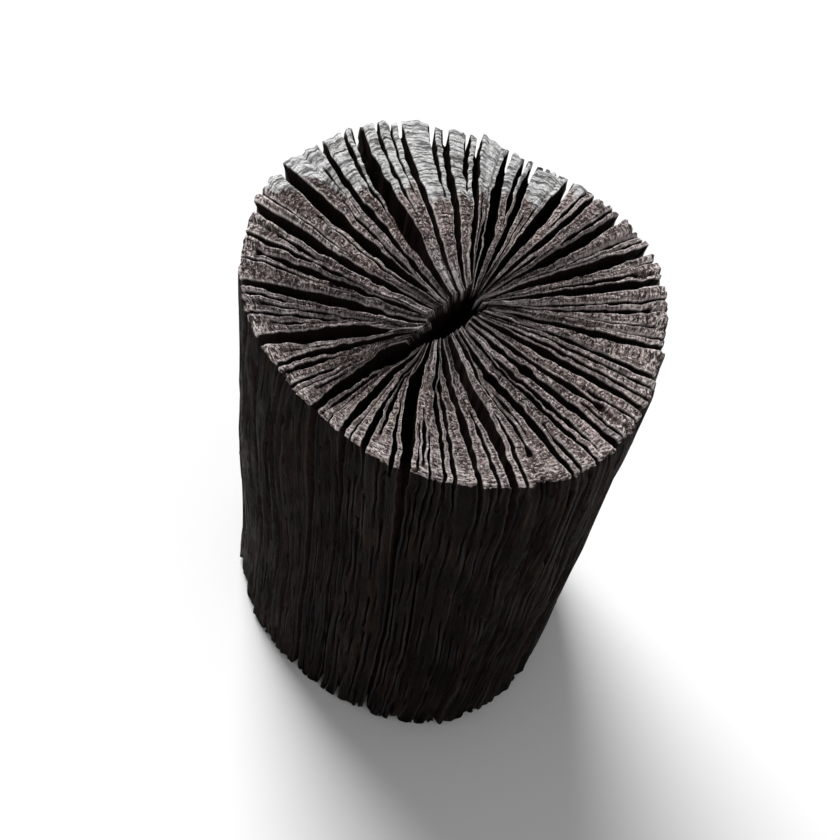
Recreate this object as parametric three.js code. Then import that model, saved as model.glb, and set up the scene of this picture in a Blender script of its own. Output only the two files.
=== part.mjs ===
import * as THREE from "three";

// A lump of wood charcoal: a short length of round log, sawn square at both ends and charred whole.
// It stands on its base. Millimetres, +Z up along the grain, origin under the middle of its box.
// The log is one piece. Drying checks, the cracks that open along the rays of the wood, run out from
// the pith on both ends like the petals of a chrysanthemum, and the wide ones carry on down the side.

// Driving dimensions
const length = 95; // along the grain, from sawn end to sawn end
const meanRadius = 35; // of the top end, from the pith to the outside
const baseTaper = 0.07; // how much narrower the base is than the top
const rimWear = 0.9; // rounded-off edge round both ends
const pithRadius = 3.4; // hollow where the pith has burnt out
const pithStretch = 1.5; // by which that hollow is longer along the heart check
const pithDepth = 9;
const baseCheckShare = 0.75; // width of a check on the base against the same check on the top
const hairline = 0.06; // width of a check where it is closed

// The outline of a cross-section, as waves round the pith: [crests, height in mm, first crest in degrees]
const outlineWaves = [
  [1, 3.4, 112],
  [2, 2.2, -45],
  [3, 0.6, 30],
  [4, 0.6, 34],
];

// Slow swells that the grain leaves on the side: [crests round, mm, degrees, waves from end to end]
const sideSwells = [
  [3, 0.5, 20, 1.0],
  [5, 0.35, 75, 1.7],
];

// Drying checks, in turn round the log. at is the direction half-way out and lean how far it has
// turned from its inner end to its outer end, in degrees. from is where it starts, in mm from the
// pith, and wide its full width in mm. One with no to reaches the side.
const checks = [
  { at: 3, lean: 2, from: 6, wide: 1.3 },
  { at: 15, lean: 6, from: 16, wide: 0.9, to: 33 },
  { at: 24, lean: 4, from: 13, wide: 1.6 },
  { at: 35, lean: 4, from: 12, wide: 2.0 },
  { at: 49, lean: 5, from: 12, wide: 2.3 },
  { at: 60, lean: 0, from: 13, wide: 1.0 },
  { at: 68, lean: 0, from: 13, wide: 1.7 },
  { at: 79, lean: -1, from: 15, wide: 1.2 },
  { at: 88, lean: -7, from: 9, wide: 1.5 },
  { at: 98, lean: -6, from: 17, wide: 1.1 },
  { at: 107, lean: -6, from: 9, wide: 0.9 },
  { at: 117, lean: -3, from: 20, wide: 0.7 },
  { at: 129, lean: -8, from: 9, wide: 2.0 },
  { at: 139, lean: -5, from: 16, wide: 1.1 },
  { at: 150, lean: 3, from: 18, wide: 1.6 },
  { at: 162, lean: 3, from: 18, wide: 1.2 },
  { at: 173, lean: 6, from: 9, wide: 1.3, to: 33 },
  { at: 185, lean: 3, from: 10, wide: 1.7 },
  { at: 195, lean: 2, from: 13, wide: 1.1 },
  { at: 203, lean: 6, from: 6, wide: 1.9 },
  { at: 213, lean: 5, from: 13, wide: 1.2 },
  { at: 222, lean: 2, from: 18, wide: 0.8 },
  { at: 233, lean: 3, from: 2, wide: 2.4 }, // the heart check
  { at: 246, lean: -3, from: 11, wide: 1.5 },
  { at: 254, lean: 0, from: 18, wide: 0.9 },
  { at: 265, lean: 4, from: 8, wide: 2.0 },
  { at: 277, lean: -2, from: 14, wide: 0.7 },
  { at: 287, lean: -1, from: 14, wide: 1.0 },
  { at: 296, lean: -4, from: 12, wide: 1.5 },
  { at: 304, lean: -2, from: 18, wide: 0.7, to: 30 },
  { at: 312, lean: -2, from: 9, wide: 1.3 },
  { at: 321, lean: -2, from: 17, wide: 1.0 },
  { at: 329, lean: 0, from: 11, wide: 1.3 },
  { at: 336, lean: -2, from: 18, wide: 0.7, to: 30 },
  { at: 344, lean: -4, from: 11, wide: 1.3 },
  { at: 354, lean: -3, from: 11, wide: 1.2 },
];

const radians = THREE.MathUtils.degToRad;
const { clamp, lerp, smoothstep } = THREE.MathUtils;

// Distance from the pith to the outside in a direction, at a height above the base.
function barkRadius(direction, height) {
  let radius = meanRadius;
  for (const [crests, mm, first] of outlineWaves) {
    radius += mm * Math.cos(crests * (direction - radians(first)));
  }
  radius *= 1 - baseTaper * (1 - height / length);
  for (const [crests, mm, first, waves] of sideSwells) {
    radius += mm * Math.cos(crests * (direction - radians(first)))
      * Math.sin(2 * Math.PI * waves * (height / length));
  }
  return radius;
}

// The burnt-out pith is an oval along the heart check, which leaves it at 233 degrees.
function pithEdge(direction) {
  return pithRadius * Math.pow(pithStretch, Math.cos(2 * (direction - radians(233))));
}

// The wall of the log from the pith of the base to the pith of the top. Each row is on an end or on
// the side: on an end, out is the share of the way from the pith hollow to the outside.
const endRows = [0, 0.1, 0.22, 0.36, 0.5, 0.64, 0.78, 0.9].map((out) => ({ out }));
const sideHeights = [0, 4, 10, 18, 29, 41, 54, 66, 77, 85, 91, length];
const rows = [
  { end: "base", pole: true },
  { end: "base", floor: true },
  ...endRows.map(({ out }) => ({ end: "base", out })),
  { end: "base", out: 1, worn: true },
  ...sideHeights.map((height) => ({ height: clamp(height, rimWear, length - rimWear) })),
  { end: "top", out: 1, worn: true },
  ...endRows.map(({ out }) => ({ end: "top", out })).reverse(),
  { end: "top", floor: true },
  { end: "top", pole: true },
];

// Four columns of vertices for each check: its two lips, its floor between them, and the middle of the
// rib of wood up to the next check.
const columnsPerCheck = 4;
const columns = checks.length * columnsPerCheck;

// How far down the side a check runs from an end: wide ones meet in the middle of the log.
const runDownSide = (check) => 12 * check.wide * check.wide;
const depthOf = (check) => 3.5 + 3 * check.wide;

// Width of a check, in mm, where a row crosses it.
function checkWidth(check, row, fromPith) {
  const share = row.end === "base" ? baseCheckShare : 1;
  if (row.end) {
    const opened = smoothstep(fromPith, check.from, check.from + 7);
    const closed = check.to ? 1 - smoothstep(fromPith, check.to - 6, check.to) : 1;
    return Math.max(hairline, share * check.wide * opened * closed);
  }
  if (check.to) return hairline;
  const fromTop = 1 - (length - row.height) / runDownSide(check);
  const fromBase = baseCheckShare * (1 - row.height / runDownSide(check));
  return Math.max(hairline, check.wide * Math.max(fromTop, fromBase));
}

// A point of the wall as distance from the pith and height. sunk goes from 0 at the surface to 1 at
// the floor of a check that is depth deep.
function wallPoint(row, direction, depth, sunk) {
  const endHeight = row.end === "base" ? 0 : length;
  const inward = row.end === "base" ? 1 : -1;
  if (row.pole) return [0, endHeight + inward * pithDepth];
  if (row.floor) return [0.4 * pithEdge(direction), endHeight + inward * 0.85 * pithDepth];
  if (!row.end) {
    const radius = barkRadius(direction, row.height);
    const coreHeight = depth + (row.height / length) * (length - 2 * depth);
    return [lerp(radius, radius - depth, sunk), lerp(row.height, coreHeight, sunk)];
  }
  const edge = barkRadius(direction, endHeight) - rimWear;
  const radius = lerp(pithEdge(direction), edge, row.out);
  return [radius * lerp(1, 1 - depth / meanRadius, sunk), endHeight + inward * depth * sunk];
}

// Direction of a check where it is fromPith out: it leans evenly over the whole way.
function checkDirection(check, fromPith) {
  return radians(check.at + check.lean * (clamp(fromPith / meanRadius, 0, 1) - 0.5));
}

// One vertex of the lump, by its row and column.
function lumpPoint(row, column) {
  const check = checks[Math.floor(column / columnsPerCheck)];
  const next = checks[(Math.floor(column / columnsPerCheck) + 1) % checks.length];
  const fromPith = wallPoint(row, radians(check.at), 0, 0)[0];
  const width = checkWidth(check, row, fromPith);
  const halfAngle = width / 2 / Math.max(fromPith, 1);
  const middle = checkDirection(check, fromPith);
  const place = column % columnsPerCheck; // 0 and 2 are the lips, 1 is the floor, 3 is the rib
  if (place !== 3) {
    const direction = middle + (place - 1) * halfAngle;
    const sunk = place === 1 ? clamp(width / check.wide, 0, 1) : 0;
    return [...wallPoint(row, direction, depthOf(check), width > hairline ? sunk : 0), direction];
  }
  const nextWidth = checkWidth(next, row, fromPith);
  let nextMiddle = checkDirection(next, fromPith);
  if (nextMiddle < middle) nextMiddle += 2 * Math.PI;
  const rib = (middle + halfAngle + nextMiddle - nextWidth / 2 / Math.max(fromPith, 1)) / 2;
  return [...wallPoint(row, rib, 0, 0), rib];
}

// A lathe gives the closed grid of rows and columns, and every vertex is then moved to its place.
function charredLog() {
  const turned = new THREE.LatheGeometry(
    rows.map((row) => new THREE.Vector2(...wallPoint(row, 0, 0, 0))),
    columns,
  );
  const position = turned.getAttribute("position");
  for (let i = 0; i < position.count; i++) {
    const row = rows[i % rows.length];
    const column = Math.floor(i / rows.length) % columns;
    const [radius, height, direction] = lumpPoint(row, column);
    position.setXYZ(i, radius * Math.cos(direction), radius * Math.sin(direction), height);
  }
  turned.computeBoundingBox();
  const middle = turned.boundingBox.getCenter(new THREE.Vector3());
  turned.translate(-middle.x, -middle.y, 0);
  turned.computeVertexNormals();
  return turned;
}

const charcoal = new THREE.MeshStandardMaterial({ color: 0x3a3634, roughness: 0.72, metalness: 0 });

const lump = new THREE.Mesh(charredLog(), charcoal);
lump.name = "charcoal_lump";

const part = new THREE.Group();
part.add(lump);

export default part;
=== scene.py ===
import math

import bmesh
import bpy
import numpy as np
from mathutils import Matrix, Vector


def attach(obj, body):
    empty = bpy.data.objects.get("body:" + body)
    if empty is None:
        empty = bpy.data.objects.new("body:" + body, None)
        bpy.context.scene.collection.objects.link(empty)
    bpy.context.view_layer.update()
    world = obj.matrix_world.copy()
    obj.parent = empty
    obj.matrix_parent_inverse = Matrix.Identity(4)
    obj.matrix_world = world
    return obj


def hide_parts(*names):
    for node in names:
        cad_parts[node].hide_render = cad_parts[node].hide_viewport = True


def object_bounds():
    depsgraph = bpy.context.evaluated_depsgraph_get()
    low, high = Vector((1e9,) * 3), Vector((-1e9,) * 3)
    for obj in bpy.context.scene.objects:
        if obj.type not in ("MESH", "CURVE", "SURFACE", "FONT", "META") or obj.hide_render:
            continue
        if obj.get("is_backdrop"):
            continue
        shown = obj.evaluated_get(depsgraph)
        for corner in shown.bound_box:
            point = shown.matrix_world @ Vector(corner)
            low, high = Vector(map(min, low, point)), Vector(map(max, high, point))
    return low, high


# A lump of wood charcoal, standing on its sawn base. Lengths in the dictionaries are millimetres and
# angles are degrees, and they become metres and radians where they are used. Only the floor and the
# lamps are given in metres.

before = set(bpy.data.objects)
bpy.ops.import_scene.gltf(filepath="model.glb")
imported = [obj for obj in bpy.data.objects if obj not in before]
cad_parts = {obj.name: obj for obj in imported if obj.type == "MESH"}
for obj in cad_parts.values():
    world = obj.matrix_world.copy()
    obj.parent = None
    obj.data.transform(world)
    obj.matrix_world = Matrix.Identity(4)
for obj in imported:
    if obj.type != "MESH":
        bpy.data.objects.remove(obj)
cadLow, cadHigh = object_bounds()
metre = 1000.0  # millimetres in a metre
tall = (cadHigh.z - cadLow.z) * metre
print("frame loaded, CAD box", [round(v * metre, 1) for v in (*cadLow, *cadHigh)])

view = {
    "elevation": 52,  # above the horizon, at the middle of the top end
    "roll": 12,  # the lump leans to the right in the picture
    "distance": 260,  # from the middle of the top end
    "topMiddle": (0.6, -2.4),  # of the end, from the middle of the box
    "aimHeight": 0.60,  # share of the height that stands in the middle of the picture
    "aimSide": (-1.0, 0.0),
    "lens": 70,
    "nearest": 10,
    "farthest": 100000,
}


def makeCamera():
    elevation = math.radians(view["elevation"])
    back = Vector((0, -math.cos(elevation), math.sin(elevation)))
    place = Vector((*view["topMiddle"], tall)) + back * view["distance"]
    aim = Vector((*view["aimSide"], view["aimHeight"] * tall))
    away = (place - aim).normalized()
    right = Vector((0, 0, 1)).cross(away).normalized()
    up = away.cross(right)
    turn = Matrix((right, up, away)).transposed() @ Matrix.Rotation(math.radians(view["roll"]), 3, "Z")
    data = bpy.data.cameras.new("camera")
    data.lens = view["lens"]
    data.clip_start = view["nearest"] / metre
    data.clip_end = view["farthest"] / metre
    camera = bpy.data.objects.new("camera", data)
    camera.matrix_world = Matrix.Translation(place / metre) @ turn.to_4x4()
    bpy.context.scene.collection.objects.link(camera)
    bpy.context.scene.camera = camera


makeCamera()
print("camera placed")

log = {
    "seed": 41,
    "columns": 560,  # strands of fibre round the log
    "meanRadius": 35,
    "baseTaper": 0.07,  # how much narrower the base is than the top
    "outline": ((1, 3.4, 112), (2, 2.2, -45), (3, 0.6, 30), (4, 0.6, 34)),  # crests, height, first crest
    "swells": ((3, 0.5, 20, 1.0), (5, 0.35, 75, 1.7)),  # and waves from end to end
    "rimRound": 0.45,
    "rings": 17,
    "innerRings": 1.5,  # that the burnt-out pith has taken
    "spareRings": 4,  # outside the others, as room for the wander
    "ringWander": 4.5,  # rings by which the same ring differs round the log, before it is blurred
    "ringBlur": 25,  # columns
    "floorFade": 26,  # mm down the side, over which a crack's floor comes back to the rows' own height
    "sharpEdge": 38,  # angle from which an edge is shaded sharp
}

# The burnt-out pith is an oval hollow.
pith = {
    "long": 8.0,
    "short": 2.15,
    "meanRadius": 4,  # that the wall's rows are spaced by
    "off": -2.6,  # from the pith itself to the middle of the oval
    "direction": 55,
    "egg": 0.25,  # how much wider one end of the oval is
    "topDepth": 15,
    "baseDepth": 9,
    "ragged": 0.61,  # share by which its edge wanders in and out
    "raggedBlur": 4,  # columns
    "closing": 0.6,  # power of the way up from its bottom that its width follows
    "sunk": 6,  # mm that its bottom counts as sunk, for its colour
}

# Drying checks in turn round the log: direction half-way out, how far it turns on its way out, where it
# starts, full width, and where it ends if it doesn't reach the side.
checks = (
    (3, 2, 6, 1.3), (15, 6, 16, 0.9, 33), (24, 4, 13, 1.6), (35, 4, 12, 2.0), (49, 5, 12, 2.3),
    (60, 0, 13, 1.0), (68, 0, 13, 1.7), (79, -1, 15, 1.2), (88, -7, 9, 1.5), (98, -6, 17, 1.1),
    (107, -6, 9, 0.9), (117, -3, 20, 0.7), (129, -8, 9, 2.0), (139, -5, 16, 1.1), (150, 3, 18, 1.6),
    (162, 3, 18, 1.2), (173, 6, 9, 1.3, 33), (185, 3, 10, 1.7), (195, 2, 13, 1.1), (203, 6, 6, 1.9),
    (213, 5, 13, 1.2), (222, 2, 18, 0.8), (233, 3, 2, 2.4), (246, -3, 11, 1.5), (254, 0, 18, 0.9),
    (265, 4, 8, 2.0), (277, -2, 14, 0.7), (287, -1, 14, 1.0), (296, -4, 12, 1.5), (304, -2, 18, 0.7, 30),
    (312, -2, 9, 1.3), (321, -2, 17, 1.0), (329, 0, 11, 1.3), (336, -2, 18, 0.7, 30), (344, -4, 11, 1.3),
    (354, -3, 11, 1.2),
)


def smooth(value, low, high):
    share = np.clip((value - low) / (high - low), 0, 1)
    return share * share * (3 - 2 * share)


def outlineRadius(direction, height):
    # from the pith to the outside, in mm
    radius = log["meanRadius"] + 0 * direction
    for crests, size, first in log["outline"]:
        radius = radius + size * np.cos(crests * (direction - math.radians(first)))
    radius = radius * (1 - log["baseTaper"] * (1 - height))
    for crests, size, first, waves in log["swells"]:
        radius = radius + size * np.cos(crests * (direction - math.radians(first))) * np.sin(
            2 * math.pi * waves * height
        )
    return radius


# Rows run down the wall of the log, from the pith of the top end over the side to that of the base.
rowPlan = {
    "topHollow": 7,
    "topRows": 70,
    "sideRows": 72,
    "baseRows": 14,
    "baseHollow": 3,
    "starts": (0.6, 0.7, 0.5),  # first row of the top's hollow, the base and its hollow, in row steps
    "pithLip": 0.012,  # where the flat of the top starts, as a share of the way out
    "crowding": 0.045,  # of the side's rows towards both ends
    "bend": (0, 0.35, 0.7, 1),  # the worn edge round both ends, in quarter turns
}


def wallRows():
    # each row as end, out, hollow, height and inset
    worn = log["rimRound"]
    startTop, startBase, startHollow = rowPlan["starts"]
    rows = []
    for k in range(rowPlan["topHollow"]):
        rows.append((1, 0, 1 - (k + startTop) / rowPlan["topHollow"], tall, 0))
    for k in range(rowPlan["topRows"]):
        share = k / rowPlan["topRows"]
        rows.append((1, rowPlan["pithLip"] * (1 - share) + share, 0, tall, worn))
    bend = [share * math.pi / 2 for share in rowPlan["bend"]]
    for angle in bend:
        rows.append((1, 1, 0, tall - worn * (1 - math.cos(angle)), worn * (1 - math.sin(angle))))
    high, low = tall - 2 * worn, 2 * worn
    for k in range(rowPlan["sideRows"]):
        share = k / (rowPlan["sideRows"] - 1)
        place = share - rowPlan["crowding"] * math.sin(2 * math.pi * share)
        rows.append((0, 1, 0, high + (low - high) * place, 0))
    for angle in reversed(bend):
        rows.append((-1, 1, 0, worn * (1 - math.cos(angle)), worn * (1 - math.sin(angle))))
    for k in range(rowPlan["baseRows"]):
        rows.append((-1, 1 - (k + startBase) / rowPlan["baseRows"], 0, 0, worn))
    for k in range(rowPlan["baseHollow"]):
        rows.append((-1, 0, (k + startHollow) / rowPlan["baseHollow"], 0, 0))
    return np.array(rows, float).T[:, :, None]


end, out, hollow, height, inset = wallRows()  # end is 1 on the top, 0 on the side and -1 on the base
onTop, onSide, onBase = end > 0, end == 0, end < 0
sideRow, baseRow = onSide[:, 0], onBase[:, 0]
rowCount = len(end)
columns = log["columns"]
column = np.arange(columns)
evenTurn = 2 * math.pi * column[None, :] / columns  # direction of each column before any crack opens
rng = np.random.default_rng(log["seed"])
fromPith = (1 - out) * pith["meanRadius"] * (1 - hollow) + out * (log["meanRadius"] - inset)
radiusRow, heightRow = fromPith[:, 0], height[:, 0]
toTop, toEnd = tall - heightRow, np.minimum(tall - heightRow, heightRow)
steps = np.hypot(np.diff(radiusRow, prepend=0), np.diff(heightRow, prepend=tall))
arc = np.cumsum(steps)[:, None]  # way along the wall from the pith of the top
rimWay = np.abs(arc - arc[np.argmax(end[:, 0] < 1)])  # way to the top's rim
baseRimWay = np.abs(arc - arc[np.argmax(baseRow)])
print("wall of", rowCount, "rows and", columns, "columns")


def grainNoise(alongMm, across):
    # smooth random field over the wall, about 1 high: alongMm down the rows and across columns wide
    step = 0.5  # mm from one row of the even field to the next, which is then fitted to the wall's rows
    count = int(arc[-1, 0] / step) + 2
    rowWaves = np.fft.fftfreq(count, d=step)[:, None] * alongMm
    columnWaves = np.fft.fftfreq(columns)[None, :] * across
    spectrum = np.fft.fft2(rng.standard_normal((count, columns)))
    shaped = np.fft.ifft2(spectrum * np.exp(-2 * math.pi**2 * (rowWaves**2 + columnWaves**2))).real
    shaped /= shaped.std()
    place = arc[:, 0] / step
    low = place.astype(int)
    share = (place - low)[:, None]
    return shaped[low] * (1 - share) + shaped[low + 1] * share


def sizedNoise(size, alongMm, across):
    return size * grainNoise(alongMm, across)


def blurRound(values, across):
    # the same values, blurred round the log by a number of columns
    waves = np.fft.fftfreq(columns) * across
    return np.fft.ifft(np.fft.fft(values, axis=-1) * np.exp(-2 * math.pi**2 * waves**2), axis=-1).real


def around(at, shifts):
    return [(at + shift) % columns for shift in shifts]


# Cracks open between the columns. A crack has its floor on its middle column and a lip on either side.
crack = {
    "ragged": ((0.21, 0.4), (0.04, 3.5)),  # unevenness of its edges and the mm along it that one lasts
    "raggedAcross": 0.5,  # columns
    "ringJump": 0.17,  # how far its edges jump from one growth ring to the next
    "calmFrom": (2, 14),  # from the pith, where the raggedness sets in
    "loose": 0.9,  # most of its width that the raggedness works on
    "otherEdge": 9,  # columns from one edge's unevenness to the other's
    "shares": (0.08, 0.42, 0.42, 0.08),  # of the width, from lip to lip
    "wallDepth": 0.85,
    "fullColumns": 0.3,  # width from which it takes over the columns' own width
    "fullLip": 0.4,
    "sinkPower": 6,  # of the way out, which keeps the sinking of the side off the ends
    "clear": 3,  # columns on either side of a wide one, where no other starts
}
gap = np.zeros((rowCount, columns))  # mm added between a column and the next
given = np.zeros((rowCount, columns))  # share of a column's own width that a crack takes over
sunkDown = np.zeros((rowCount, columns))  # mm that a column lies under the plane of its end
sunkIn = np.zeros((rowCount, columns))  # and inside the side of the log
lip = np.zeros((rowCount, columns))  # 1 where a column is the edge of a crack
taken = np.zeros(columns, bool)
endCuts, sideCuts = [], []

ringWander = log["ringWander"] * blurRound(rng.standard_normal(columns), log["ringBlur"])
ringAt = out * log["rings"] + log["innerRings"] + ringWander
ringCount = log["rings"] + log["spareRings"]
ringOf = np.clip(ringAt, 0, ringCount - 1).astype(int)
ringStep = rng.standard_normal((ringCount, columns))[ringOf, column[None, :]] * ~onSide
ragged = sum(size * grainNoise(alongMm, crack["raggedAcross"]) for size, alongMm in crack["ragged"])
ragged = ragged + crack["ringJump"] * ringStep
ragged *= np.where(onSide, 1, smooth(fromPith, *crack["calmFrom"]))


def closeBy(at, clear):
    # the columns up to clear away on either side
    return around(at, range(-clear, clear + 1))


def sink(where, down, inward):
    sunkDown[:, where] = np.maximum(sunkDown[:, where], down)
    sunkIn[:, where] = np.maximum(sunkIn[:, where], inward)


def part(at, width, shifts, shares):
    # parts the columns at the shifts from at, each by its share of the ragged width in mm of each row
    loose = np.minimum(width, crack["loose"])
    edges = [np.clip(width + loose * ragged[:, k], 0, None) for k in around(at, (0, crack["otherEdge"]))]
    for shift, share in zip(shifts, shares):
        where = (at + shift) % columns
        gap[:, where] += share * edges[shift >= 0]
        given[:, where] = np.maximum(given[:, where], np.clip(width / crack["fullColumns"], 0, 1))
    for where in around(at, (shifts[0], shifts[-1] + 1)):
        lip[:, where] = np.maximum(lip[:, where], np.clip(width / crack["fullLip"], 0, 1))


def openCrack(at, width, down, inward):
    # with steep walls; the width and both depths are in mm, for each row
    part(at, width, (-2, -1, 0, 1), crack["shares"])
    for where in around(at, (-1, 1)):
        sink(where, crack["wallDepth"] * down, crack["wallDepth"] * inward)
    sink(at, down, inward)


def openHairCrack(at, width, down, inward):
    # so narrow that its walls meet on its one floor column
    part(at, width, (-1, 0), (0.5, 0.5))
    sink(at, down, inward)


drying = {
    "wider": 1.22,  # than the checks above
    "opensOver": 6,  # mm from a check's start to its full width, and from less to nothing at its end
    "inner": (0.48, 0.76),  # share of the wood near the pith that its narrow inner end takes
    "innerStart": (1.8, 4),
    "innerOver": 2,
    "innerMost": 0.75,  # share of the full width that the inner end can have
    "midway": 1.08,  # share of the full width before it narrows to the rim
    "rimLess": 0.42,  # share lost on the way to the rim
    "backLess": 0.20,  # and more of it at the back
    "rimFrom": (25, 35),
    "floor": 3.5,  # depth under an end, and how much more for each mm of width
    "floorByWidth": 3.0,
    "rimFloorLess": 0.5,
    "rimFloorFrom": (26, 34),
    "sideFloor": 1.2,
    "sideFloorByWidth": 1.2,
    "runDown": 12,  # mm down the side, times the width squared
    "baseShare": 0.75,
    "heart": 233,
    "heartWider": 0.9,
    "heartTo": (8, 18),
}


def openDryingCheck(at, start, wide, stop):
    c = int(round(at / 360 * columns))
    wide *= drying["wider"]
    over = drying["opensOver"]
    rimLess = drying["rimLess"] + drying["backLess"] * max(math.sin(math.radians(at)), 0)
    opened = smooth(radiusRow, start, start + over) if at != drying["heart"] else 1 - hollow[:, 0]
    opened = opened * (drying["midway"] - rimLess * smooth(radiusRow, *drying["rimFrom"]))
    inner, innerStart = rng.uniform(*drying["inner"]), rng.uniform(*drying["innerStart"])
    innerOpened = smooth(radiusRow, innerStart, innerStart + drying["innerOver"])
    inner = inner * 2 * math.pi / len(checks) * radiusRow * innerOpened
    opened = np.maximum(opened, np.minimum(inner / wide, drying["innerMost"]))
    closed = 1 - smooth(radiusRow, stop - over, stop) if stop else 1
    endWidth = wide * opened * closed * np.where(baseRow, drying["baseShare"], 1)
    if at == drying["heart"]:
        endWidth = endWidth * (1 + drying["heartWider"] * (1 - smooth(radiusRow, *drying["heartTo"])))
    reach = drying["runDown"] * wide * wide
    fromTop, fromBase = 1 - toTop / reach, drying["baseShare"] * (1 - heightRow / reach)
    openSide = np.clip(np.maximum(fromTop, fromBase), 0, 1) * (0 if stop else drying["midway"] - rimLess)
    width = np.where(sideRow, wide * openSide, endWidth)
    share = np.clip(width / wide, 0, 1) ** 0.5
    down = share * (drying["floor"] + drying["floorByWidth"] * wide)
    down = down * (1 - drying["rimFloorLess"] * smooth(radiusRow, *drying["rimFloorFrom"]))
    openCrack(c, width, down, share * (drying["sideFloor"] + drying["sideFloorByWidth"] * wide))
    taken[closeBy(c, crack["clear"])] = True
    endCuts.append(c)
    sideCuts.append(c)


for check in checks:
    at, lean, start, wide = check[:4]
    stop = check[4] if len(check) > 4 else None
    openDryingCheck(at, start, wide, stop)
print("opened", len(checks), "drying checks")

# Hair checks part the ribs between the drying checks.
hair = {
    "firstColumn": 2,
    "apart": (3, 9),  # columns
    "clear": 1,
    "start": (6, 26),
    "farthest": 50,  # from the pith that one could end, past the rim
    "wide": (0.25, 1.0),
    "run": (2, 14),  # down the side
    "least": 7,  # length on the end
    "opensOver": 5,
    "floor": 1.2,
    "floorByWidth": 4.5,
    "sideFloor": 0.8,
    "sideFloorByWidth": 1.6,
}


def openHairCheck(c):
    start, wide, run = rng.uniform(*hair["start"]), rng.uniform(*hair["wide"]), rng.uniform(*hair["run"])
    stop = rng.uniform(start + hair["least"], hair["farthest"])
    over = hair["opensOver"]
    shape = smooth(radiusRow, start, start + over) * (1 - smooth(radiusRow, stop - over, stop))
    atRim = shape[np.argmax(sideRow)]
    width = wide * np.where(sideRow, atRim * np.clip(1 - toEnd / run, 0, 1), shape)
    share = np.clip(width / wide, 0, 1) ** 0.5
    down = share * (hair["floor"] + hair["floorByWidth"] * wide)
    openHairCrack(c, width, down, share * (hair["sideFloor"] + hair["sideFloorByWidth"] * wide))
    taken[closeBy(c, hair["clear"])] = True
    endCuts.append(c)


c, opened = hair["firstColumn"], len(endCuts)
while c < columns:
    if taken[closeBy(c, hair["clear"])].any():
        c += 1
        continue
    openHairCheck(c)
    c += int(rng.integers(*hair["apart"]))
print("opened", len(endCuts) - opened, "hair checks")

# A few long checks part the strands down the side.
long = {
    "count": 16,
    "long": (22, 60),
    "wide": (0.5, 1.1),
    "deep": 3.2,
    "past": (0.3, 0.2),  # least share of its length above the base, and most past the top
    "taper": 1.2,  # powers that its width and its depth follow
    "floorTaper": 0.4,
}
for k in range(long["count"]):
    c = int(rng.choice(np.flatnonzero(~taken)))
    longMm, wide = rng.uniform(*long["long"]), rng.uniform(*long["wide"])
    high = rng.uniform(long["past"][0] * longMm, tall + long["past"][1] * longMm)  # of its upper end
    shape = np.sin(math.pi * np.clip((high - heightRow) / longMm, 0, 1)) ** long["taper"] * sideRow
    depth = long["deep"] * shape ** long["floorTaper"]
    openCrack(c, wide * shape, depth, depth)
    taken[closeBy(c, crack["clear"])] = True
    sideCuts.append(c)
print("opened", long["count"], "long side checks")

# Short lens-shaped checks weave down the side between the strands.
lens = {
    "firstColumn": 1,
    "lane": (3, 6),  # columns from one lane of them to the next
    "first": (-6, 10),  # mm that the upper end of a lane's first one lies above the top
    "lowest": 1,
    "long": (7, 34),
    "shorter": (0.4, 1),  # share of that length
    "between": (0.3, 8),
    "wide": (0.14, 0.55),
    "shortWide": 0.55,  # share of the width that the shortest have, and how much more the longest have
    "longWider": 0.45,
    "deep": 2.4,
    "taper": 1.3,  # powers that its width and its depth follow
    "floorTaper": 0.6,
    "clearOf": 0.06,  # width of a bigger crack beside them that closes them
}


def openLane(c):
    # one lens-shaped check below another, all down a lane
    width, depth = np.zeros(rowCount), np.zeros(rowCount)
    high = tall + rng.uniform(*lens["first"])
    count = 0
    while high > lens["lowest"]:
        longMm = rng.uniform(*lens["long"]) * rng.uniform(*lens["shorter"])
        wide = rng.uniform(*lens["wide"])
        wide *= lens["shortWide"] + lens["longWider"] * longMm / lens["long"][1]
        shape = np.sin(math.pi * np.clip((high - heightRow) / longMm, 0, 1)) * sideRow
        width = np.maximum(width, wide * shape ** lens["taper"])
        deep = lens["deep"] * (wide / lens["wide"][1]) ** 0.5
        depth = np.maximum(depth, deep * shape ** lens["floorTaper"])
        high -= longMm + rng.uniform(*lens["between"])
        count += 1
    beside = bigGap[:, around(c, (-2, -1, 0, 1))].max(axis=1)
    quiet = 1 - np.clip(beside / lens["clearOf"], 0, 1)
    openHairCrack(c, width * quiet, depth * quiet, depth * quiet)
    sideCuts.append(c)
    return count


bigGap = gap.copy()
c, lensCount = lens["firstColumn"], 0
while c < columns:
    lensCount += openLane(c)
    c += int(rng.integers(*lens["lane"]))
print("opened", lensCount, "lens-shaped checks")

# The strands are pushed aside by the cracks that open between them.
push = {
    "blur": 10,  # columns over which the push spreads
    "least": 0.12,  # share of its even width that a strand keeps
    "nearest": 1.5,  # mm from the pith, inside which a crack pushes no harder
    "leanBlur": 6,  # columns
    "topWander": (0.30, 6.0, 14),  # mm aside, mm along that it lasts and columns across
    "topWanderFade": 12,  # mm down the side
    "wander": (0.5, 16.0, 16),
    "wanderFrom": (4, 22),  # mm from the pith
    "wanderNearest": 6,
    "twist": 1.6,  # of the grain, from the base up
    "twistHalfWaves": 1.2,  # of it over the height
}


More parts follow.
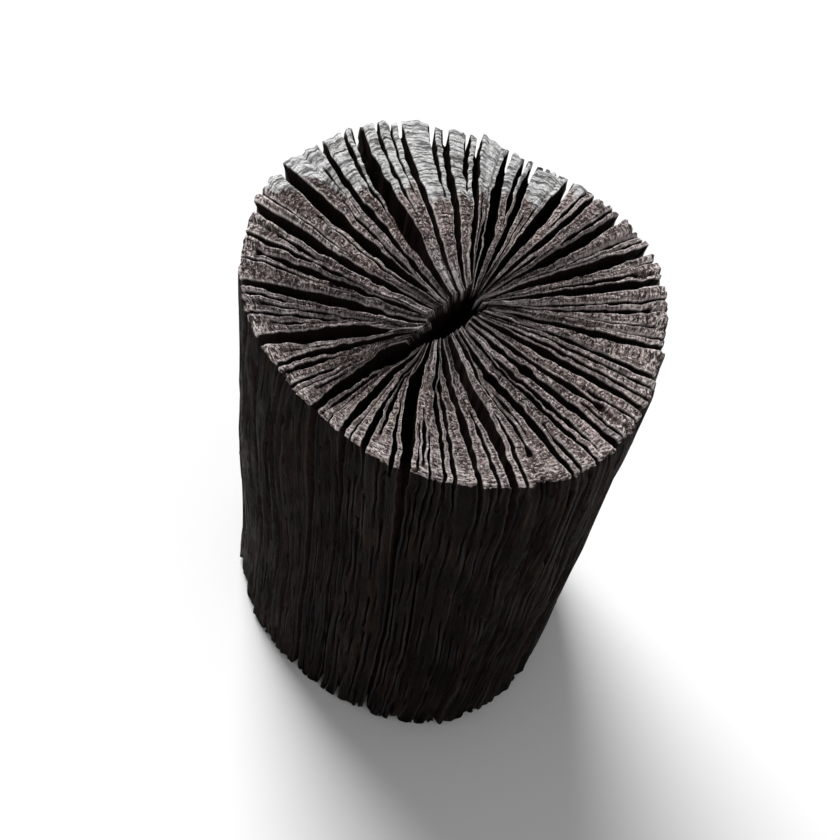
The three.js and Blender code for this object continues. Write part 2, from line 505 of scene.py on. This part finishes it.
def pushedDirections():
    extra = gap / np.maximum(fromPith, push["nearest"]) - given * evenTurn[0, 1]
    spacing = evenTurn[0, 1] + extra - blurRound(extra, push["blur"])
    spacing = np.maximum(spacing, push["least"] * evenTurn[0, 1])
    spacing *= 2 * math.pi / spacing.sum(axis=1, keepdims=True)
    pushed = np.cumsum(spacing, axis=1) - spacing
    pushed -= (pushed - evenTurn).mean(axis=1, keepdims=True)
    ats = np.array([check[0] for check in checks], float)
    leans = np.tile([check[1] for check in checks], 3)
    leanOf = np.interp(np.degrees(evenTurn[0]), np.concatenate([ats - 360, ats, ats + 360]), leans)
    outShare = np.clip(fromPith / log["meanRadius"], 0, 1)
    lean = np.radians(blurRound(leanOf, push["leanBlur"])) * (outShare - 0.5)
    wander = sizedNoise(*push["topWander"]) * np.exp(-(tall - height) / push["topWanderFade"])
    wander += sizedNoise(*push["wander"])
    wander *= np.where(onSide, 1, smooth(fromPith, *push["wanderFrom"]))
    wander /= np.maximum(fromPith, push["wanderNearest"])
    twist = math.radians(push["twist"]) * np.sin(push["twistHalfWaves"] * math.pi * height / tall)
    return pushed + lean + wander + twist


direction = pushedDirections()

# Each of the first four is lift, tilt and crown in mm, and the mm along a strand that they last. Those of
# the next five are mm high, mm along that it lasts and columns across.
wood = {
    "ribs": (0.18, 0.30, 0.16, 10),  # between all the cracks of an end
    "wideRibs": (0.22, 0.30, 0.10, 30),  # between its drying checks
    "strands": (0.17, 0.28, 0.08, 9),  # down the side
    "laths": (0.22, 0.25, 0, 30),
    "swell": (0.16, 16, 7),
    "fibre": (0.09, 5, 0.6),
    "saw": (0.055, 0.5, 0.6),
    "sawWaves": (0.07, 3, 3),
    "ringWaves": (0.05, 0.5, 4),
    "ringStep": 0.05,
    "strandAcross": 0.5,  # columns over which lift and tilt last
    "strandMost": (2.5, 2),  # most that a strand goes down and up, times its lift
    "rimCalm": (0.5, 2),  # share by which a strand is calmer at the rim, and mm that it reaches
    "ribsFrom": (2, 6),  # mm from the pith
    "wideRibsFrom": (6, 16),
    "pithSunk": 0.7,
    "pithSunkFrom": (4, 15),
    "lipWorn": 0.05,
    "lipCrumbled": 0.10,
    "lipCrumb": (1.2, 0.5),  # mm along and columns across
    "lipCrumbMost": 2,
    "rimWear": ((1, 2.5, 1.2, 2.5), (0.6, 8, 3, 2)),  # share, mm along, columns across and most
    "topRimWorn": (0.28, 1.1, 0.2),  # mm worn off, mm that it reaches, mm chipped off
    "baseRimWorn": (0.35, 1.1, 0.8),
    "chip": (14, 9),  # mm along and columns across
    "chipAbove": 1.0,  # of its noise, where it starts
    "chipMost": 2,
    "chipReach": 3,
}


def strandRelief(cuts, liftMm, tiltMm, crownMm, alongMm):
    # every strand of wood between two cuts is crowned, at a height and slope that change along it
    cuts = np.sort(np.array(cuts))
    strand = np.searchsorted(cuts, column, side="right") % len(cuts)
    start = cuts[strand - 1]
    across = ((column - start) % columns) / np.maximum((cuts[strand] - start) % columns, 1) * 2 - 1
    lift, tilt = [grainNoise(alongMm, wood["strandAcross"])[:, cuts][:, strand] for k in range(2)]
    calmer, reach = wood["rimCalm"]
    calm = 1 - calmer * np.exp(-rimWay / reach)
    mostDown, mostUp = wood["strandMost"]
    shape = liftMm * lift + tiltMm * tilt * across[None, :]
    return calm * np.clip(shape, -mostDown * liftMm, mostUp * liftMm) - crownMm * across[None, :] ** 2


def woodRelief():
    # of ribs, strands and edges, in mm outwards
    dryingCuts = endCuts[:len(checks)]
    relief = strandRelief(endCuts, *wood["ribs"]) * onTop * smooth(fromPith, *wood["ribsFrom"])
    wideRibs = strandRelief(dryingCuts, *wood["wideRibs"])
    relief += wideRibs * onTop * smooth(fromPith, *wood["wideRibsFrom"])
    relief += strandRelief(sideCuts, *wood["strands"]) * onSide
    relief += strandRelief(dryingCuts, *wood["laths"]) * onSide
    relief += (sizedNoise(*wood["swell"]) + sizedNoise(*wood["fibre"])) * onSide
    relief += (sizedNoise(*wood["saw"]) + sizedNoise(*wood["sawWaves"])) * onTop
    relief += (wood["ringStep"] * ringStep + sizedNoise(*wood["ringWaves"])) * onTop
    relief -= wood["pithSunk"] * (1 - smooth(fromPith, *wood["pithSunkFrom"])) * onTop * (1 - hollow)
    crumbled = wood["lipCrumbled"] * np.clip(grainNoise(*wood["lipCrumb"]), 0, wood["lipCrumbMost"])
    relief -= lip * (wood["lipWorn"] + crumbled * ~onSide)
    relief *= ~onBase
    rough = 0
    for share, alongMm, across, most in wood["rimWear"]:
        rough = rough + share * np.clip(grainNoise(alongMm, across), 0, most)
    chip = np.clip(grainNoise(*wood["chip"]) - wood["chipAbove"], 0, wood["chipMost"])
    for way, (worn, reach, chipped) in ((rimWay, wood["topRimWorn"]), (baseRimWay, wood["baseRimWorn"])):
        relief -= worn * rough * np.exp(-way / reach)
        relief -= chipped * chip * np.exp(-(way / wood["chipReach"]) ** 2)
    return relief


relief = woodRelief()
pithNoise = blurRound(rng.standard_normal(columns), pith["raggedBlur"])
print("strands shaped")


def wallPlaces(direction, down, inward):
    # down and inward are how far each vertex lies under its end and inside the side, in mm
    slit = math.radians(pith["direction"])
    closing = (1 - out) * (1 - hollow) ** pith["closing"]
    shrink = closing * (1 + pith["ragged"] * pithNoise * closing)
    a = pith["off"] + pith["long"] * np.cos(direction - slit)
    b = pith["short"] * np.sin(direction - slit) * (1 + pith["egg"] * np.cos(direction - slit))
    radius = outlineRadius(direction, height / tall) - inset
    rest = pith["off"] * (1 - out - closing)  # the hollow closes on its own middle
    x = (a * math.cos(slit) - b * math.sin(slit)) * shrink + rest * math.cos(slit)
    y = (a * math.sin(slit) + b * math.cos(slit)) * shrink + rest * math.sin(slit)
    narrow = 1 - inward / log["meanRadius"] * out ** crack["sinkPower"]
    x = (x + radius * np.cos(direction) * out) * narrow
    y = (y + radius * np.sin(direction) * out) * narrow
    deep = np.where(onTop, pith["topDepth"], -pith["baseDepth"]) * (1 - (1 - hollow) ** 2) * (hollow > 0)
    fade = log["floorFade"]
    nearTop = np.where(onTop, 1, np.clip(1 - (tall - height) / fade, 0, 1) ** 2 * onSide)
    nearBase = np.where(onBase, 1, np.clip(1 - height / fade, 0, 1) ** 2 * onSide)
    return x, y, height - deep - down * nearTop + down * nearBase


x, y, z = wallPlaces(direction, sunkDown - relief * ~onSide, sunkIn - relief)
sunk = np.maximum(np.where(onSide, sunkIn, sunkDown), pith["sunk"] * hollow)


def makeLump():
    # a flat grid is rolled up into the wall, then its seam and its two poles are welded
    weldWithin = 1e-7  # metres
    shape = bmesh.new()
    bmesh.ops.create_grid(shape, x_segments=columns, y_segments=rowCount + 1, size=1)
    mesh = bpy.data.meshes.new("charredLump")
    shape.to_mesh(mesh)
    places = np.empty(len(mesh.vertices) * 3, np.float32)
    mesh.vertices.foreach_get("co", places)
    places = places.reshape(-1, 3).astype(float)
    row = np.round((1 - places[:, 1]) / 2 * (rowCount + 1)).astype(int)
    col = np.round((places[:, 0] + 1) / 2 * columns).astype(int) % columns
    isPole = (row == 0) | (row == rowCount + 1)
    row = np.clip(row - 1, 0, rowCount - 1)
    made = np.stack([x[row, col], y[row, col], z[row, col]], axis=1)
    turn = evenTurn[0, col]
    grain = np.stack(
        [log["meanRadius"] * np.cos(turn), log["meanRadius"] * np.sin(turn), arc[row, 0]], axis=1
    )
    for axis, values in enumerate((x, y, z)):
        made[isPole, axis] = values[row[isPole]].mean(axis=1)
    low, high = made.min(axis=0), made.max(axis=0)
    shift = np.array([*(np.array(cadLow + cadHigh)[:2] * metre / 2 - (low + high)[:2] / 2), 0])
    made += shift
    made[:, 2] = np.maximum(made[:, 2], 0)
    mesh.vertices.foreach_set("co", (made / metre).astype(np.float32).ravel())
    facts = {"sunk": sunk, "lip": lip, "ring": ringAt + 0 * sunk,
             "raised": relief, "onEnd": ~onSide + 0 * sunk}
    for name, values in facts.items():
        layer = mesh.attributes.new(name, "FLOAT", "POINT")
        layer.data.foreach_set("value", values[row, col].astype(np.float32))
    layer = mesh.attributes.new("grain", "FLOAT_VECTOR", "POINT")
    layer.data.foreach_set("vector", grain.astype(np.float32).ravel())
    shape.clear()
    shape.from_mesh(mesh)
    shape.verts.ensure_lookup_table()
    isSeam = np.isclose(np.abs(places[:, 0]), 1)
    edge = [shape.verts[k] for k in np.flatnonzero(isPole | isSeam)]
    bmesh.ops.remove_doubles(shape, verts=edge, dist=weldWithin)
    bmesh.ops.recalc_face_normals(shape, faces=shape.faces)
    shape.to_mesh(mesh)
    shape.free()
    mesh.polygons.foreach_set("use_smooth", [True] * len(mesh.polygons))
    mesh.set_sharp_from_angle(angle=math.radians(log["sharpEdge"]))
    lump = bpy.data.objects.new("charred_lump", mesh)
    bpy.context.scene.collection.objects.link(lump)
    return lump


lump = makeLump()
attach(lump, "root")
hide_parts("charcoal_lump")
print("lump has", len(lump.data.polygons), "faces")


class Wire:
    # one output of a material's node, with Python's arithmetic on it
    def __init__(self, tree, socket=None):
        self.tree = tree
        self.socket = socket

    def node(self, kind, settings=None, inputs=None, output=0):
        made = self.tree.nodes.new(kind)
        for name, value in (settings or {}).items():
            setattr(made, name, value)
        for name, value in (inputs or {}).items():
            if isinstance(value, Wire):
                self.tree.links.new(value.socket, made.inputs[name])
            else:
                made.inputs[name].default_value = value
        return Wire(self.tree, made.outputs[output] if made.outputs else None)

    def maths(self, operation, left, right=0.0):
        return self.node("ShaderNodeMath", {"operation": operation}, {0: left, 1: right})

    def __add__(self, other):
        return self.maths("ADD", self, other)

    def __radd__(self, other):
        return self.maths("ADD", other, self)

    def __sub__(self, other):
        return self.maths("SUBTRACT", self, other)

    def __rsub__(self, other):
        return self.maths("SUBTRACT", other, self)

    def __mul__(self, other):
        return self.maths("MULTIPLY", self, other)

    def __rmul__(self, other):
        return self.maths("MULTIPLY", other, self)

    def between(self, low, high):
        # 0 at low and 1 at high, or the other way round where low is the higher
        return self.node("ShaderNodeMapRange", {"interpolation_type": "SMOOTHSTEP"},
                         {"Value": self, "From Min": low, "From Max": high})


def mixed(share, first, second):
    # share of the second colour in the first; a colour is a wire or three numbers
    first, second = [c if isinstance(c, Wire) else (*c, 1) for c in (first, second)]
    return share.node("ShaderNodeMix", {"data_type": "RGBA"}, {0: share, 6: first, 7: second}, 2)


# Waves of each pattern to the mm, round the log (twice) and along it, then its detail and roughness.
# They follow the wood, which runs outwards on an end, but for the pores, which don't.
patterns = {
    "strands": ((1.5, 1.5, 0.07), 5, 0.62),
    "fine": ((4.0, 4.0, 0.4), 2, 0.6),
    "bands": ((0.28, 0.28, 2.1), 5, 0.62),
    "grit": ((1.3, 1.3, 2.7), 4, 0.70),
    "pores": ((2.3, 2.3, 0.9), 1, 0.5),
    "ribs": ((0.45, 0.45, 0.02), 2, 0.5),
    "membranes": ((0.22, 0.22, 0.06), 4, 0.68),
    "mottle": ((0.16, 0.16, 0.09), 3, 0.55),
    "tint": ((0.11, 0.11, 0.06), 2, 0.5),
}
paint = {
    # painted shade deep in the cracks
    "crack": (0.019, 0.0125, 0.0108),
    "brown": ((0.003, 0.0018, 0.0012), (0.014, 0.0058, 0.0026)),  # strands of the side, dark and light
    "grey": ((0.003, 0.0021, 0.0015), (0.008, 0.0056, 0.0041)),
    "paintedBackSheen": (0.21, 0.199, 0.194),  # strands of the back, paler and silvery as painted sheen where the light falls
    "raisedStrand": (0.14, 0.13, 0.126),
    "paleFibre": (0.34, 0.325, 0.315),
    # painted shade on the strands that lie low
    "lowStrandShade": (0.004, 0.003, 0.003),
    "sawn": ((0.056, 0.037, 0.033), (0.50, 0.392, 0.370)),  # bands of the end, dark and light
    "paleRib": (0.40, 0.345, 0.332),
    "darkRib": (0.045, 0.034, 0.031),
    # painted light near the pith, which makes up for the shade of its hollow, and painted highlights on its
    # ridges
    "paintedPithLight": (0.42, 0.38, 0.37),
    "pithRidgeHighlight": (0.80, 0.75, 0.74),
    "pithStreak": (0.016, 0.013, 0.012),
    "soot": (0.066, 0.046, 0.044),
    "leftShade": (0.023, 0.017, 0.016),
    "tan": (0.125, 0.078, 0.066),
    "darkSpeck": (0.024, 0.019, 0.018),
    "paleSpeckAndGlint": (0.80, 0.72, 0.70),
    "pore": (0.008, 0.006, 0.006),
    "fineStreak": (0.006, 0.005, 0.0045),
    # pale crumbs on the rim, and painted highlights on the lips of the cracks
    "crumbAndHighlight": (0.78, 0.71, 0.69),
    "earlyWood": (0.022, 0.018, 0.017),
    # painted light along the back of the upper end, in dark and light bands, with dark specks
    "paintedBackLight": ((0.20, 0.20, 0.20), (0.84, 0.84, 0.84)),
    "paintedBackLightSpeck": (0.10, 0.10, 0.10),
}
char = {
    "topFrom": (80, 84),  # mm above the base, where the colours of the upper end start
    "paintedCrackShade": (0.02, 0.5),  # mm below the surface, over which the cracks take on painted shade
    "rimCrumbs": (16.6, 18.2),  # rings out
    "nearPith": (8.0, 3.0),
    "earlyWood": (0.20, 0.04),  # share of a ring
    "ringFine": 0.2,  # rings by which the fine pattern shifts it
    "back": (4.0, 40.0),  # mm behind the middle, with the mottle, over which the side turns from painted shade at the front to painted light at the back
    "backMottle": 40.0,
    "left": (0.0, -20.0),
    "leftMottle": 20.0,
    "paintedBackLightFrom": (30.5, 31.8),  # mm behind the middle, with the slope and noises below, where the painted light starts
    "paintedBackLightSlope": -0.25,
    "paintedBackLightNoise": 10.0,
    "roughness": (0.50, 0.35),  # least, and with the fine pattern
    "crackRoughness": 0.9,
    "reliefDistance": 0.0016,  # metres
    "specular": 0.03,
}
# Values of a pattern between which one colour turns into the other
turns = {
    "brown": (0.45, 0.55),
    "grey": (0.42, 0.58),
    "greyStrands": (0.45, 0.56),
    "sawn": (0.43, 0.55),
    "paintedBackLight": (0.40, 0.54),
    "earlyPatches": (0.40, 0.55),
    "rimGrit": (0.50, 0.56),
    "lipGrit": (0.46, 0.56),
}
# Layers of paint, one over another: the values of its pattern that have none and all of each, and how
# much of what lies below it hides at most
layers = {
    "raisedStrand": (0.10, 0.45, 1),
    "paleFibre": (0.52, 0.60, 1),
    "lowStrandShade": (-0.05, -0.4, 0.6),
    "paleRib": (0.52, 0.62, 0.35),
    "darkRib": (0.48, 0.38, 0.45),
    "soot": (0.45, 0.56, 0.4),
    "tan": (0.47, 0.58, 0.4),
    "darkSpeck": (0.50, 0.42, 0.5),
    "paleSpeckAndGlint": (0.522, 0.59, 1),
    "pithStreak": (0.50, 0.45, 0.85),
    "pithRidgeHighlight": (0.53, 0.57, 0.85),
    "pore": (0.60, 0.66, 0.8),
    "fineStreak": (0.50, 0.40, 0.5),
    "paintedBackLightSpeck": (0.50, 0.42, 0.5),
}
# Further shares, of these layers and of others. Where there are two, the first holds everywhere and the
# second is added where its cause is full.
shares = {
    "raisedStrand": (0.02, 0.54),  # towards the back, as painted light; paleFibre below grows the same way
    "paleFibre": (0.008, 0.54),
    "paintedPithLight": 0.6,
    "leftShade": 0.55,
    "paleSpeckAndGlint": (0.95, -0.5),  # pale specks that are partly painted glints, fewer towards the left
    "rimCrumbs": 0.8,
    # painted highlights on the lips of the side, more towards the back
    "sideLip": (0.03, 0.10),
    "topLip": (0.38, 0.3, 0.45),  # of the painted highlights on the lips: everywhere, near the pith, and with the grit
    "earlyWood": 0.5,
    "paintedBackLight": (0.92, -0.5),  # of the painted light, less in early wood
}
# Times the distance of the fine relief, for each pattern
heights = {"bark": 1.3, "grit": 0.5, "bands": 0.5, "fine": 0.3, "early": -0.3}


def charMaterial():
    material = bpy.data.materials.new("char")
    material.use_nodes = True
    tree = material.node_tree
    tree.nodes.clear()
    start = Wire(tree)

    def fact(name, output=2):
        return start.node("ShaderNodeAttribute", {"attribute_name": name}, None, output)

    grain = fact("grain", 1)
    sunkBy, lipBy, ringBy, onEndBy, raisedBy = [fact(k) for k in ("sunk", "lip", "ring", "onEnd", "raised")]

    def stretched(vector, stretch):
        return start.node("ShaderNodeVectorMath", {"operation": "MULTIPLY"}, {0: vector, 1: stretch})

    def pattern(name, vector=grain):
        stretch, detail, rough = patterns[name]
        inputs = {"Vector": stretched(vector, stretch), "Scale": 1.0, "Detail": detail, "Roughness": rough}
        return start.node("ShaderNodeTexNoise", None, inputs)

    def layered(name, wire, under, within=None):
        none, full, most = layers[name]
        share = wire.between(none, full) * most
        return mixed(share if within is None else share * within, under, paint[name])

    def grown(name, cause):
        everywhere, more = shares[name]
        return everywhere + more * cause

    place = stretched(start.node("ShaderNodeTexCoord", None, None, 3), (metre, metre, metre))
    side, back, up = [start.node("ShaderNodeSeparateXYZ", None, {0: place}, k) for k in range(3)]
    strands, fine, bands, grit = [pattern(k) for k in ("strands", "fine", "bands", "grit")]
    ribs, membranes, mottle, tint = [pattern(k) for k in ("ribs", "membranes", "mottle", "tint")]
    pores = pattern("pores", place)

    deep = sunkBy.between(*char["paintedCrackShade"])
    onTop = onEndBy * up.between(*char["topFrom"])
    behind = (back + mottle * char["backMottle"]).between(*char["back"])
    toLeft = (side + mottle * char["leftMottle"]).between(*char["left"])
    nearPith = ringBy.between(*char["nearPith"])
    ringWave = start.maths("FRACT", ringBy + fine * char["ringFine"])
    early = ringWave.between(*char["earlyWood"]) * mottle.between(*turns["earlyPatches"]) * onEndBy

    # the side: brown and grey strands, dark at the front as painted shade, and paler and silvery at the
    # back as painted light and sheen
    brown = mixed(tint.between(*turns["brown"]), *paint["brown"])
    grey = mixed(mottle.between(*turns["grey"]), *paint["grey"])
    grey = mixed(behind, grey, paint["paintedBackSheen"])
    bark = mixed(strands.between(*turns["greyStrands"]), brown, grey)
    bark = layered("raisedStrand", raisedBy, bark, grown("raisedStrand", behind))
    bark = layered("paleFibre", fine, bark, grown("paleFibre", behind))
    # painted shade on the strands that lie low
    bark = layered("lowStrandShade", raisedBy, bark)

    # the upper end: bands that follow the rings, ribs of different tones, soot, specks, some of them
    # painted glints, and pores, with painted light near the pith
    sawn = mixed(bands.between(*turns["sawn"]), *paint["sawn"])
    sawn = layered("paleRib", ribs, sawn)
    sawn = layered("darkRib", ribs, sawn)
    # painted light near the pith
    sawn = mixed(nearPith * shares["paintedPithLight"], sawn, paint["paintedPithLight"])
    sawn = layered("soot", mottle, sawn)
    sawn = mixed(toLeft * shares["leftShade"], sawn, paint["leftShade"])
    sawn = layered("tan", tint, sawn)
    sawn = layered("darkSpeck", grit, sawn)
    # pale specks of the grain, which also stand in for glints as painted highlights
    sawn = layered("paleSpeckAndGlint", grit, sawn, grown("paleSpeckAndGlint", toLeft))
    sawn = layered("pithStreak", membranes, sawn, nearPith)
    # painted highlights on the ridges near the pith
    sawn = layered("pithRidgeHighlight", membranes, sawn, nearPith)
    sawn = layered("pore", pores, sawn)

    # on both: pale lips as painted highlights, crumbs along the rim and the soft early wood of each ring
    surface = mixed(onTop, bark, sawn)
    surface = layered("fineStreak", fine, surface)
    rimCrumbs = ringBy.between(*char["rimCrumbs"]) * grit.between(*turns["rimGrit"]) * onTop
    topLip, pithLip, gritLip = shares["topLip"]
    lipHighlights = topLip + pithLip * nearPith + gritLip * grit.between(*turns["lipGrit"])
    crumbsAndHighlights = rimCrumbs * shares["rimCrumbs"] + lipBy * (grown("sideLip", behind) + onTop * lipHighlights)
    surface = mixed(crumbsAndHighlights, surface, paint["crumbAndHighlight"])
    surface = mixed(early * shares["earlyWood"], surface, paint["earlyWood"])

    # painted light: a pale band along the back of the upper end, where light falls across it
    paintedBackLight = mixed(bands.between(*turns["paintedBackLight"]), *paint["paintedBackLight"])
    paintedBackLight = layered("paintedBackLightSpeck", grit, paintedBackLight)
    paintedBackLightEdge = back + side * char["paintedBackLightSlope"] + mottle * char["paintedBackLightNoise"] + ribs * char["paintedBackLightNoise"]
    paintedBackLightShare = paintedBackLightEdge.between(*char["paintedBackLightFrom"]) * onTop
    surface = mixed(paintedBackLightShare * grown("paintedBackLight", early), surface, paintedBackLight)
    # painted shade in the cracks, darker with depth
    colour = mixed(deep, surface, paint["crack"])

    leastRough, fineRough = char["roughness"]
    rough = start.maths("MAXIMUM", leastRough + fineRough * fine, deep * char["crackRoughness"])
    endHeight = grit * heights["grit"] + bands * heights["bands"]
    grainHeight = strands * (1 - onTop) * heights["bark"] + endHeight * onTop
    grainHeight = grainHeight + fine * heights["fine"] + early * heights["early"]
    bump = start.node("ShaderNodeBump", None, {
        "Strength": 1.0, "Distance": char["reliefDistance"], "Height": grainHeight,
    })
    shader = start.node("ShaderNodeBsdfPrincipled", None, {
        "Base Color": colour, "Roughness": rough, "Normal": bump, "Specular IOR Level": char["specular"],
    })
    start.node("ShaderNodeOutputMaterial", None, {"Surface": shader})
    return material


lump.data.materials.append(charMaterial())
print("char material made")

studio = {
    "flatRadius": 4.0,  # metres of level floor round the lump
    "floorRadius": 60.0,  # metres to its edge, which rises so that no view passes over it
    "floorRise": 8.0,
    "floorSides": 96,
    "floorColour": (0.76, 0.76, 0.76, 1),
    "floorRoughness": 0.9,
    "sky": 0.34,
}
key = {"from": (-0.50, 0.78, 0.74), "power": 5.0, "softness": 34}
fill = {"from": (0.6, -0.7, 0.8), "power": 1.2, "size": 0.9}


def makeFloor():
    shape = bmesh.new()
    sides, radius = studio["floorSides"], studio["flatRadius"]
    bmesh.ops.create_circle(shape, cap_ends=True, segments=sides, radius=radius)
    slope = bmesh.ops.extrude_edge_only(shape, edges=shape.edges[:])["geom"]
    rim = [item for item in slope if isinstance(item, bmesh.types.BMVert)]
    wider = studio["floorRadius"] / studio["flatRadius"]
    bmesh.ops.scale(shape, verts=rim, vec=(wider, wider, 1))
    bmesh.ops.translate(shape, verts=rim, vec=(0, 0, studio["floorRise"]))
    bmesh.ops.recalc_face_normals(shape, faces=shape.faces)
    mesh = bpy.data.meshes.new("floor")
    shape.to_mesh(mesh)
    shape.free()
    floor = bpy.data.objects.new("floor", mesh)
    bpy.context.scene.collection.objects.link(floor)
    material = bpy.data.materials.new("paleFloor")
    material.use_nodes = True
    finish = material.node_tree.nodes["Principled BSDF"]
    finish.inputs["Base Color"].default_value = studio["floorColour"]
    finish.inputs["Roughness"].default_value = studio["floorRoughness"]
    mesh.materials.append(material)
    floor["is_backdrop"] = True


def makeLamp(name, kind, lamp):
    data = bpy.data.lights.new(name, kind)
    data.energy = lamp["power"]
    if kind == "SUN":
        data.angle = math.radians(lamp["softness"])
    else:
        data.size = lamp["size"]
    light = bpy.data.objects.new(name, data)
    light.location = lamp["from"]
    light.rotation_mode = "QUATERNION"
    light.rotation_quaternion = (-light.location).to_track_quat("-Z", "Y")
    bpy.context.scene.collection.objects.link(light)


def makeSky():
    world = bpy.data.worlds.new("studio")
    world.use_nodes = True
    background = world.node_tree.nodes["Background"]
    background.inputs["Color"].default_value = (1, 1, 1, 1)
    background.inputs["Strength"].default_value = studio["sky"]
    bpy.context.scene.world = world


makeFloor()
makeLamp("key", "SUN", key)
makeLamp("fill", "AREA", fill)
makeSky()
bpy.context.scene.view_settings.view_transform = "Standard"
print("floor and light made")

low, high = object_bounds()
